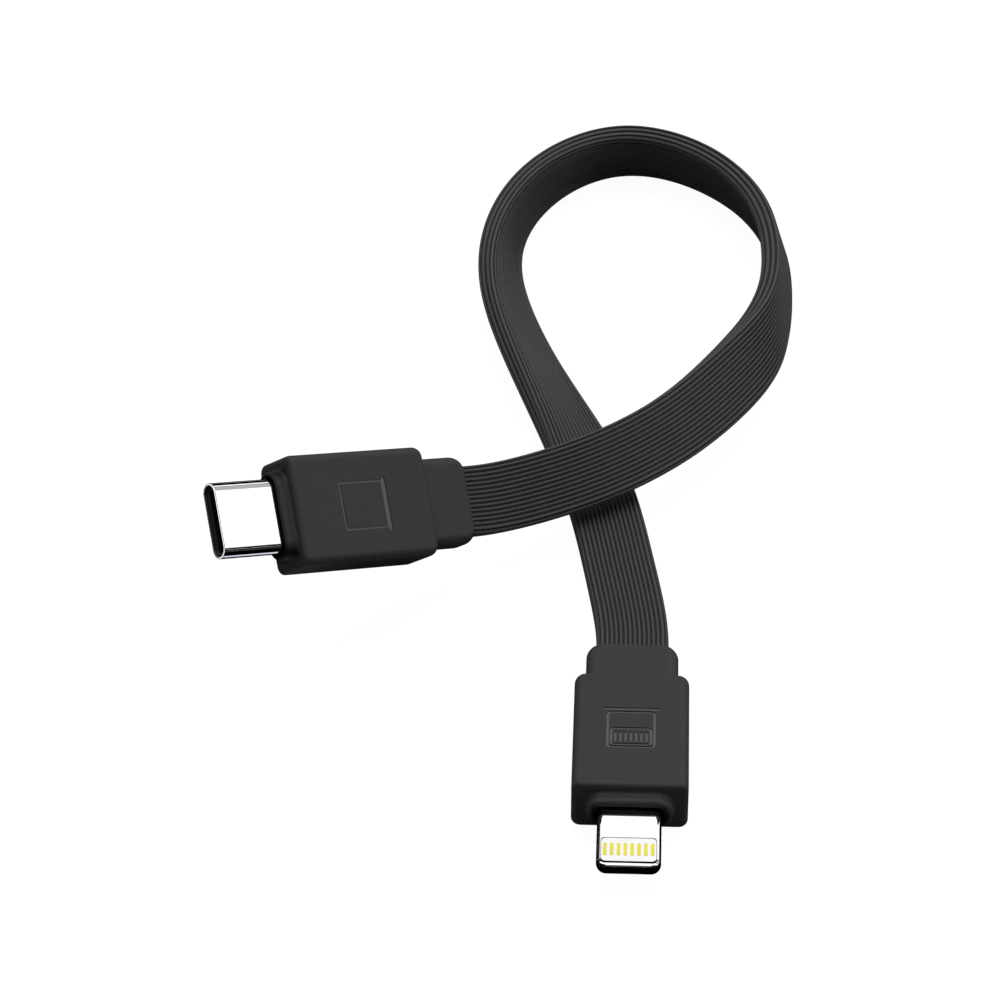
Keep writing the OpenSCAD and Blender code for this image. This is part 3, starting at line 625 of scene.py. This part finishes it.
# %% Blade
BLADE_X0, BLADE_X1 = 20.1, FACE_X + 8.3
PANEL_X1 = BLADE_X1 - 0.4
PANEL_X0 = PANEL_X1 - 3.8
WINDOW_W, OVERLAP = 5.8, 0.01
blade_r, nose_r, nose_plan_r = 0.68, 0.55, 1.1
blade = skin("blade_plug_blade", [(BLADE_X0, BLADE_W/2, BLADE_T/2, blade_r)]
             + closed_end(BLADE_X1, -1, BLADE_W, BLADE_T, nose_plan_r, nose_r, blade_r, 14))
bpy.ops.object.mode_set(mode="EDIT")
bpy.ops.mesh.select_all(action="SELECT")
bpy.ops.mesh.fill_holes(sides=0)
bpy.ops.mesh.select_all(action="SELECT")
bpy.ops.mesh.normals_make_consistent(inside=False)
combine(blade, add_block("flange", BLADE_X0, BLADE_X0 + 0.8, 7.9, 2.3), "UNION")
combine(blade, add_block("channel", BLADE_X0 - 0.6, PANEL_X0 + OVERLAP, 5.4, 0.6), "DIFFERENCE")
window = add_block("window", PANEL_X0, PANEL_X1, WINDOW_W, 3)
round_edges(window, is_upright, 0.45, 6)
combine(blade, window, "DIFFERENCE")
settle(blade, "blade", "bright_shell", "blade_frame")

# %% [markdown]
# ## The contact panel
# The panel is a plate of white plastic in the blade's window. A gap a few hundredths of a millimetre
# wide is left round it, wider in front, because that dark line is what tells steel from plastic. A
# ledge half way down closes the gap, so that no light comes through it from below. The ledge and the
# panel's sides get painted shade, as the walls of grooves do.

# %% Panel
SIDE_GAP, FRONT_GAP = 0.05, 0.31
panel = add_block("blade_plug_panel", PANEL_X0 + SIDE_GAP, PANEL_X1 - FRONT_GAP, WINDOW_W - 2*SIDE_GAP,
                  BLADE_T - 0.06)
round_edges(panel, is_upright, 0.5, 6)
round_edges(panel, lambda a, b: abs(a.z - b.z) < 1e-4, 0.03, 2)
ledge = add_block("ledge", PANEL_X0 + OVERLAP, PANEL_X1 - OVERLAP, WINDOW_W - 2*OVERLAP, 0.6)
round_edges(ledge, is_upright, 0.46, 6)
combine(panel, ledge, "UNION")


def panel_tone(face):
    """-1 on the panel's sides and on the ledge, for painted shade, 0 on the two faces that are seen."""
    return -(abs(face.center.z) < BLADE_T/2 - 0.09)


settle(panel, "blade", "panel_plastic", "blade_insert", tone=panel_tone)

# %% [markdown]
# ## The gold contacts of the blade
# Eight plated pads stand in the panel on each side, with round ends and softened upper edges. One
# pad is shaped from a block and then copied along the row, each copy with its own mesh.

# %% Contact pads
PAD_L, PAD_W, PAD_H, PAD_PITCH, PADS = 1.9, 0.4, 0.5, 0.7, 8
PAD_X = PANEL_X1 - 1.1 - PAD_L/2


def pad_row(name, side):
    """Eight pads on one side of the blade, joined into one piece."""
    only(None)
    bpy.ops.mesh.primitive_cube_add(size=1, location=(PAD_X, 0, side*(BLADE_T - PAD_H)/2),
                                    scale=(PAD_L, PAD_W, PAD_H))
    pad = bpy.context.object
    pad.name = name
    bpy.ops.object.transform_apply(location=True, rotation=True, scale=True)
    round_edges(pad, is_upright, PAD_W/2 - 0.01, 6)
    round_edges(pad, lambda a, b: abs(abs(a.z) - BLADE_T/2) + abs(abs(b.z) - BLADE_T/2) < 1e-4, 0.04, 2)
    pads = [pad]
    for k in range(1, PADS):
        only(pad)
        bpy.ops.object.duplicate(linked=False)
        copy = bpy.context.object
        copy.data.transform(Matrix.Translation((0, k*PAD_PITCH, 0)))
        pads.append(copy)
    only(pad)
    for piece in pads:
        piece.select_set(True)
    bpy.ops.object.join()
    pad.data.transform(Matrix.Translation((0, (1 - PADS)/2*PAD_PITCH, 0)))
    return pad


rows = []
for side, word in ((1, "top"), (-1, "bottom")):
    rows.append(pad_row(f"blade_plug_contacts_{word}", side))
    settle(rows[-1], "blade", "gold_contact", f"blade_contacts_{word}")

# %% [markdown]
# ## Effects that several finishes share
# Three small node groups are built once. Grain gives the fine spark-eroded texture of a mould as a
# height, and a slow change of shade. Touched edges gives a broken mask on rounded places. Dust gives
# sparse specks on faces that look up. Each material places those it needs, with its own values.

# %% Helpers for node groups and materials
def new_group(name, inputs, outputs):
    """An empty shader group with float inputs (name, default) and float outputs (name)."""
    group = bpy.data.node_groups.new(name, "ShaderNodeTree")
    for label, value in inputs:
        socket = group.interface.new_socket(label, in_out="INPUT", socket_type="NodeSocketFloat")
        socket.default_value = value
    for label in outputs:
        group.interface.new_socket(label, in_out="OUTPUT", socket_type="NodeSocketFloat")
    return group, group.nodes.new("NodeGroupInput"), group.nodes.new("NodeGroupOutput")


def add_node(tree, kind, inputs=None, **settings):
    """A node with its settings, and with its inputs set to numbers or linked from sockets."""
    node = tree.nodes.new(kind)
    for key, value in settings.items():
        setattr(node, key, value)
    for key, value in (inputs or {}).items():
        if isinstance(value, bpy.types.NodeSocket):
            tree.links.new(value, node.inputs[key])
        else:
            node.inputs[key].default_value = value
    return node


def math_of(tree, how, a, b):
    """Two values joined by a math node."""
    return add_node(tree, "ShaderNodeMath", {0: a, 1: b}, operation=how).outputs[0]


def ramp(tree, value, start, end, low=0.0, high=1.0):
    """Changes from low to high as the value goes from start to end."""
    return add_node(tree, "ShaderNodeMapRange", {"Value": value, "From Min": start, "From Max": end,
                                                 "To Min": low, "To Max": high}).outputs["Result"]


def noise(tree, vector, scale, detail, roughness=0.5):
    """The value of a noise texture."""
    return add_node(tree, "ShaderNodeTexNoise", {"Vector": vector, "Scale": scale, "Detail": detail,
                                                 "Roughness": roughness}).outputs["Fac"]


def mesh_mark(tree, name):
    """The value that the mesh keeps under that name."""
    return add_node(tree, "ShaderNodeAttribute", attribute_name=name).outputs["Fac"]


# %% Grain
grain, start, end = new_group("grain", [("Scale", 5000.0), ("Patch Scale", 150.0)], ["Height", "Shade"])
place = add_node(grain, "ShaderNodeTexCoord").outputs["Object"]
grain.links.new(noise(grain, place, start.outputs["Scale"], 3.0, 0.6), end.inputs["Height"])
grain.links.new(noise(grain, place, start.outputs["Patch Scale"], 4.0, 0.65), end.inputs["Shade"])
print("group:", grain.name)

# %% Touched edges
edges, start, end = new_group("touched edges", [("Amount", 0.5), ("Scale", 900.0)], ["Mask"])
place = add_node(edges, "ShaderNodeTexCoord").outputs["Object"]
broken = ramp(edges, noise(edges, place, start.outputs["Scale"], 3.0), 0.35, 0.7)
both = math_of(edges, "MULTIPLY", mesh_mark(edges, "rounded"), broken)
edges.links.new(math_of(edges, "MULTIPLY", both, start.outputs["Amount"]), end.inputs["Mask"])
print("group:", edges.name)

# %% Dust
dust, start, end = new_group("dust", [("Amount", 0.5), ("Scale", 700.0)], ["Mask"])
place = add_node(dust, "ShaderNodeTexCoord")
sparse = ramp(dust, noise(dust, place.outputs["Object"], start.outputs["Scale"], 2.0), 0.66, 0.8)
facing = add_node(dust, "ShaderNodeSeparateXYZ", {"Vector": place.outputs["Normal"]})
upward = math_of(dust, "MAXIMUM", facing.outputs["Z"], 0.0)
lying = math_of(dust, "MULTIPLY", sparse, upward)
dust.links.new(math_of(dust, "MULTIPLY", lying, start.outputs["Amount"]), end.inputs["Mask"])
print("group:", dust.name)


# %% Start of every material
def new_material(name, color, roughness, metallic=0.0, **sockets):
    """A Principled material with its constants on the shader's own sockets."""
    material = bpy.data.materials.new(name)
    material.use_nodes = True
    shader = material.node_tree.nodes["Principled BSDF"]
    shader.inputs["Base Color"].default_value = (*color, 1)
    shader.inputs["Roughness"].default_value = roughness
    shader.inputs["Metallic"].default_value = metallic
    for key, value in sockets.items():
        shader.inputs[key.replace("_", " ")].default_value = value
    return material, material.node_tree, shader


def place_group(tree, group, values):
    """Places a group in a material with its values."""
    node = tree.nodes.new("ShaderNodeGroup")
    node.node_tree = group
    for key, value in values.items():
        node.inputs[key].default_value = value
    return node


def mix_color(tree, mask, low, high):
    """A colour that goes from low to high with mask; each end is a colour or a socket."""
    node = tree.nodes.new("ShaderNodeMix")
    node.data_type = "RGBA"
    tree.links.new(mask, node.inputs["Factor"])
    for key, value in (("A", low), ("B", high)):
        socket = next(s for s in node.inputs if s.name == key and s.type == "RGBA")
        if isinstance(value, bpy.types.NodeSocket):
            tree.links.new(value, socket)
        else:
            socket.default_value = (*value, 1)
    return next(s for s in node.outputs if s.type == "RGBA")


def paint(tree, shader, mask, high, low=None):
    """Colours the shader from low, or from what it has, to high as the mask goes from 0 to 1."""
    color = shader.inputs["Base Color"]
    tree.links.new(mix_color(tree, mask, low or color.links[0].from_socket, high), color)


def tint(color, share):
    """The colour, lighter or darker by that share."""
    return [min(1, share*c) for c in color]


def bump(tree, shader, height, strength, distance):
    """Feeds a height into the shader's normal."""
    node = add_node(tree, "ShaderNodeBump", {"Height": height, "Strength": strength, "Distance": distance})
    tree.links.new(node.outputs["Normal"], shader.inputs["Normal"])


def put_on(material, *pieces):
    """Makes the material the only one of each piece."""
    for piece in pieces:
        piece.data.materials.clear()
        piece.data.materials.append(material)


# %% [markdown]
# ## Moulded rubber
# The bodies are matt thermoplastic rubber, almost black with a cool cast. The mould's spark-eroded
# texture is finer than a hair, so it shows as a soft sheen and not as a pattern. Edges that hands
# touch are a little paler, and a few specks of dust lie on top.

# %% Painted shade on the walls of grooves and gaps
def darken_walls(tree, shader):
    """Paints shade: makes the colour nearly black where a face's tone is -1, as shade makes deep narrow
    places look.
    """
    walls = math_of(tree, "MULTIPLY", mesh_mark(tree, "tone"), -1.0)
    paint(tree, shader, walls, (0.004, 0.004, 0.0045))


# %% Finish of the plug bodies
def rubber(name, color, roughness, grain_scale):
    """Matt rubber with grain, a slow change of shade, touched edges and dust."""
    material, tree, shader = new_material(name, color, roughness, Specular_IOR_Level=0.4)
    texture = place_group(tree, grain, {"Scale": grain_scale, "Patch Scale": 120.0})
    touched = place_group(tree, edges, {"Amount": 0.5, "Scale": 700.0})
    specks = place_group(tree, dust, {"Amount": 0.06, "Scale": 2500.0})
    slow = texture.outputs["Shade"]
    paint(tree, shader, slow, tint(color, 1.1), tint(color, 0.9))
    paint(tree, shader, touched.outputs["Mask"], tint(color, 1.25))
    paint(tree, shader, specks.outputs["Mask"], (0.25, 0.25, 0.24))
    rough = ramp(tree, slow, 0.0, 1.0, roughness - 0.06, roughness + 0.06)
    tree.links.new(rough, shader.inputs["Roughness"])
    bump(tree, shader, texture.outputs["Height"], 0.35, 0.00002)
    return material, tree, shader


body_rubber, tree, shader = rubber("moulded_rubber", (0.0252, 0.0268, 0.0284), 0.58, 6000.0)
# Painted sheen: the icons' groove floors, whose tone is 1, are made paler.
paint(tree, shader, mesh_mark(tree, "tone"), (0.095, 0.098, 0.1))
# Painted shade round the metal and over the inner skin.
paint(tree, shader, mesh_mark(tree, "slot_shade"), (0.003, 0.003, 0.0035))
# Painted shade on the walls of the icons' grooves.
darken_walls(tree, shader)
put_on(body_rubber, oval_body, blade_body)
print("moulded rubber on", oval_body.name, "and", blade_body.name)

# %% [markdown]
# ## Ribbed rubber
# The ribbon is extruded, so its streaks run lengthwise. The finish reads the values kept on the
# mesh: the way along the ribbon stretches the streaks, and the depth in a groove sets how much shade
# is painted into it. Object coordinates alone would lay one straight pattern over the whole loop.

# %% Finish of the ribbon
ribbon_rubber, tree, shader = rubber("ribbed_rubber", (0.042, 0.0445, 0.047), 0.55, 7000.0)
lay = add_node(tree, "ShaderNodeAttribute", attribute_name="lay").outputs["Vector"]
stretch = add_node(tree, "ShaderNodeMapping", {"Vector": lay, "Scale": (120.0, 9000.0, 1.0)})
streaks = ramp(tree, noise(tree, stretch.outputs["Vector"], 1.0, 3.0), 0.0, 1.0, 0.0, 0.35)
paint(tree, shader, streaks, (0.058, 0.061, 0.064))
# Painted shade: the grooves are darkened by how deep they are.
deep = ramp(tree, mesh_mark(tree, "groove_depth"), 0.0, 1.0, 0.0, 0.8)
paint(tree, shader, deep, (0.004, 0.0045, 0.005))
put_on(ribbon_rubber, ribbon)
print("ribbed rubber on", ribbon.name)

# %% [markdown]
# ## Bright metal and gold
# The shell and the blade are nickel plated and polished, so nearly all they show is a reflection.
# What makes them real is the little that isn't perfect: faint smudges in the roughness, and a very
# shallow waviness. The gold pads are rougher and more uneven than the nickel.

# %% Finish of the plated pieces
def plated(name, color, roughness, wave, smudge):
    """Polished metal with a faint waviness and smudges."""
    material, tree, shader = new_material(name, color, roughness, 1.0)
    texture = place_group(tree, grain, {"Scale": 9000.0, "Patch Scale": 260.0})
    touched = place_group(tree, edges, {"Amount": 0.3, "Scale": 1500.0})
    slow = texture.outputs["Shade"]
    paint(tree, shader, slow, tint(color, 1.02), tint(color, 0.97))
    paint(tree, shader, touched.outputs["Mask"], tint(color, 0.92))
    rough = ramp(tree, slow, 0.0, 1.0, roughness, roughness + smudge)
    tree.links.new(rough, shader.inputs["Roughness"])
    bump(tree, shader, slow, wave, 0.00001)
    return material


nickel = plated("bright_nickel", (0.95, 0.955, 0.965), 0.04, 0.012, 0.03)
gold = plated("contact_gold", (1.0, 0.88, 0.12), 0.1, 0.06, 0.05)
put_on(nickel, shell, blade)
put_on(gold, *rows)
print("plated pieces:", nickel.name, gold.name)

# %% [markdown]
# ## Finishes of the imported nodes
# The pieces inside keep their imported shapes, because those are right, and only need a finish. Each
# material slot of the record gets one, from one short table: colour, roughness, metal or not, how
# fine its grain is and how strong its bump. A table keeps what belongs together in one place.

# %% Table of inside finishes
INSIDE = {
    "power_wire": ((0.42, 0.03, 0.02), 0.45, 0.0, 3000.0, 0.2),
    "ground_wire": ((0.02, 0.02, 0.02), 0.45, 0.0, 3000.0, 0.2),
    "data_wire_a": ((0.04, 0.24, 0.07), 0.45, 0.0, 3000.0, 0.2),
    "data_wire_b": ((0.75, 0.75, 0.72), 0.45, 0.0, 3000.0, 0.2),
    "hot_melt": ((0.66, 0.61, 0.5), 0.5, 0.0, 1500.0, 0.4),
    "can_steel": ((0.6, 0.6, 0.58), 0.28, 1.0, 6000.0, 0.2),
    "board_laminate": ((0.02, 0.14, 0.05), 0.4, 0.0, 5000.0, 0.2),
    "chip_epoxy": ((0.02, 0.02, 0.022), 0.6, 0.0, 8000.0, 0.3),
    "capacitor_ceramic": ((0.36, 0.22, 0.11), 0.5, 0.0, 8000.0, 0.3),
    "solder": ((0.68, 0.68, 0.66), 0.22, 1.0, 2500.0, 0.4),
    "black_core": ((0.012, 0.012, 0.013), 0.3, 0.0, 6000.0, 0.1),
    "panel_plastic": ((0.96, 0.96, 0.95), 0.25, 0.0, 6000.0, 0.05),
}


def inside_finish(name, color, roughness, metallic, scale, strength):
    """A finish with grain in its height, and a slow change in its shade and roughness."""
    material, tree, shader = new_material(name, color, roughness, metallic)
    texture = place_group(tree, grain, {"Scale": scale, "Patch Scale": scale/20})
    slow = texture.outputs["Shade"]
    paint(tree, shader, slow, tint(color, 1.12), tint(color, 0.85))
    rough = ramp(tree, slow, 0.0, 1.0, roughness*0.8, min(1, roughness*1.25))
    tree.links.new(rough, shader.inputs["Roughness"])
    bump(tree, shader, texture.outputs["Height"], strength, 0.00002)
    # Painted shade where a face's tone is -1.
    darken_walls(tree, shader)
    return material


finishes = {slot: inside_finish(slot, *values) for slot, values in INSIDE.items()}
finishes.update(gold_contact=gold, bright_shell=nickel, moulded_elastomer=body_rubber,
                ribbon_elastomer=ribbon_rubber)
put_on(finishes["panel_plastic"], panel)
# The core hardly shines, so that the oval plug's mouth stays black.
core_shader = finishes["black_core"].node_tree.nodes["Principled BSDF"]
core_shader.inputs["Specular IOR Level"].default_value = 0.1
print(len(finishes), "finishes")

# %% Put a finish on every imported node
for part in frame["record"]["subparts"]:
    put_on(finishes[part["material_slot"]], frame["nodes"][part["node"]])

# %% [markdown]
# ## Floor, backdrop and lights
# The cable lies on a white table under a large soft lamp, with a smaller one on its right. The floor
# glows for the camera and for mirrors, so it reads as plain white, and it still takes a faint shadow.
# Polished metal needs something dark to draw its edges, so a black card lies round the object. Only
# reflections see it: a photographer does the same with black paper just outside the picture.

# %% Floor
def background_rays(tree):
    """1 for rays from the camera or out of a mirror or glass, else 0; and the node that tells."""
    path = add_node(tree, "ShaderNodeLightPath")
    seen = math_of(tree, "MAXIMUM", path.outputs["Is Camera Ray"], path.outputs["Is Glossy Ray"])
    return math_of(tree, "MAXIMUM", seen, path.outputs["Is Transmission Ray"]), path


# The floor lies just below the cable, and the card and its patches a hair above the floor.
FLOOR_Z, CARD_Z, PATCH_Z = -0.00003, -0.00001, -0.000005
FLOOR_GLOW = 0.955
only(None)
bpy.ops.mesh.primitive_plane_add(size=6, location=(0, 0, FLOOR_Z))
floor = bpy.context.object
floor.name = "floor"
paper, tree, shader = new_material("white_table", (0.6, 0.6, 0.6), 1.0, Specular_IOR_Level=0.0)
rays, _ = background_rays(tree)
paint(tree, shader, rays, (0.1, 0.1, 0.1), (0.6, 0.6, 0.6))
shader.inputs["Emission Color"].default_value = (1, 1, 1, 1)
tree.links.new(math_of(tree, "MULTIPLY", rays, FLOOR_GLOW), shader.inputs["Emission Strength"])
floor.data.materials.append(paper)

# %% Black card for reflections
def show_only_in_mirrors(card):
    """Hides the card from everything but reflections."""
    card.visible_camera = card.visible_diffuse = card.visible_transmission = False
    card.visible_volume_scatter = card.visible_shadow = False


only(None)
bpy.ops.mesh.primitive_plane_add(size=1.2, location=(0, 0, CARD_Z))
card = bpy.context.object
card.name = "black_card"
black, _, _ = new_material("black_card", (0.0, 0.0, 0.0), 1.0, Specular_IOR_Level=0.0)
card.data.materials.append(black)
show_only_in_mirrors(card)

# %% Patches on the black card, for the oval shell's lower edge and the rim of its mouth
def add_patch(name, x, y, length, width, turn, color):
    """A glowing strip just over the black card, which only reflections see."""
    only(None)
    bpy.ops.mesh.primitive_plane_add(size=1, location=(x, y, PATCH_Z), rotation=(0, 0, math.radians(turn)))
    strip = bpy.context.object
    strip.name, strip.scale = name, (length, width, 1)
    glow, _, shader = new_material(name, (0.0, 0.0, 0.0), 1.0, Specular_IOR_Level=0.0,
                                   Emission_Strength=1.0)
    shader.inputs["Emission Color"].default_value = (*color, 1)
    strip.data.materials.append(glow)
    show_only_in_mirrors(strip)


add_patch("edge_patch", -0.0351, 0.0146, 0.0085, 0.006, 45, (0.7, 0.74, 0.85))
add_patch("rim_patch", -0.1117, 0.0261, 0.034, 0.01, -25.5, (1.15, 1.15, 1.2))
add_patch("rim_shade", -0.1073, 0.0351, 0.034, 0.01, -25.5, (0.06, 0.06, 0.07))
print("floor, card and patches in place")

# %% [markdown]
# ## The sky
# The camera sees plain white. Rubber is lit by a soft sky, brighter in the north. Mirrors see a
# third one: white above a tilted horizon and black below it, with a grey and two black flags in the
# north, which draw the grey and black bands on the metal, and a darker part in the far south.

# %% Sky
world = bpy.data.worlds.new("studio")
bpy.context.scene.world = world
world.use_nodes = True
sky = world.node_tree
sky.nodes.clear()
rays, path = background_rays(sky)
way = add_node(sky, "ShaderNodeTexCoord").outputs["Generated"]
parts = add_node(sky, "ShaderNodeSeparateXYZ", {"Vector": way})
north, east = parts.outputs["Y"], parts.outputs["X"]
tilted = add_node(sky, "ShaderNodeVectorMath", {0: way, 1: (0.2, 0.21, 1.0)}, operation="DOT_PRODUCT")


def flag(start, end, side):
    """1 between two bands of the north, each given as start and end of its soft edge, on one side."""
    band = math_of(sky, "MULTIPLY", ramp(sky, north, *start), ramp(sky, north, *end, 1.0, 0.0))
    return math_of(sky, "MULTIPLY", band, side)


horizon = math_of(sky, "SUBTRACT", tilted.outputs["Value"], ramp(sky, north, 0.80, 0.84, 0.0, 0.32))
above = math_of(sky, "MULTIPLY", ramp(sky, horizon, 0.34, 0.40), ramp(sky, north, -0.5, -0.44, 0.1, 1.0))
grey_flag = flag((0.14, 0.19), (0.58, 0.62), ramp(sky, east, 0.3, 0.4, 0.0, 0.62))
black_flag = flag((0.40, 0.44), (0.70, 0.73), ramp(sky, east, 0.3, 0.4, 1.0, 0.0))
thin_flag = flag((0.60, 0.63), (0.70, 0.73), 0.9)
flags = math_of(sky, "SUBTRACT", math_of(sky, "SUBTRACT", 1.0, grey_flag),
                math_of(sky, "MAXIMUM", black_flag, thin_flag))
lit = math_of(sky, "MULTIPLY", math_of(sky, "MULTIPLY", above, flags), 1.2)
mirror = math_of(sky, "MAXIMUM", lit, path.outputs["Is Camera Ray"])
fill = add_node(sky, "ShaderNodeBackground", {"Color": (0.95, 0.97, 1, 1),
                                              "Strength": ramp(sky, north, -0.5, 0.2, 0.22, 0.58)})
bright = add_node(sky, "ShaderNodeBackground", {"Color": (1, 1, 1, 1), "Strength": mirror})
mixed = add_node(sky, "ShaderNodeMixShader", {0: rays, 1: fill.outputs[0], 2: bright.outputs[0]})
sky.links.new(mixed.outputs[0], add_node(sky, "ShaderNodeOutputWorld").inputs["Surface"])
print("sky set")


# %% Lamps
def soft_lamp(name, place, size, power):
    """A square soft lamp that faces the middle of the cable, and that mirrors don't show."""
    lamp = bpy.data.objects.new(name, bpy.data.lights.new(name, "AREA"))
    lamp.data.shape, lamp.data.size, lamp.data.energy = "SQUARE", size, power
    lamp.location = place
    lamp.rotation_euler = (cable_middle - lamp.location).to_track_quat("-Z", "Y").to_euler()
    bpy.context.scene.collection.objects.link(lamp)
    lamp.visible_glossy = False


cable_middle = Vector((-0.01, 0.045, 0))
soft_lamp("overhead_lamp", (0.0, 0.45, 0.9), 0.9, 8.3)
soft_lamp("right_lamp", (0.9, 0.1, 0.45), 0.5, 1.5)
bpy.context.scene.view_settings.view_transform = "Standard"
print("lamps set")
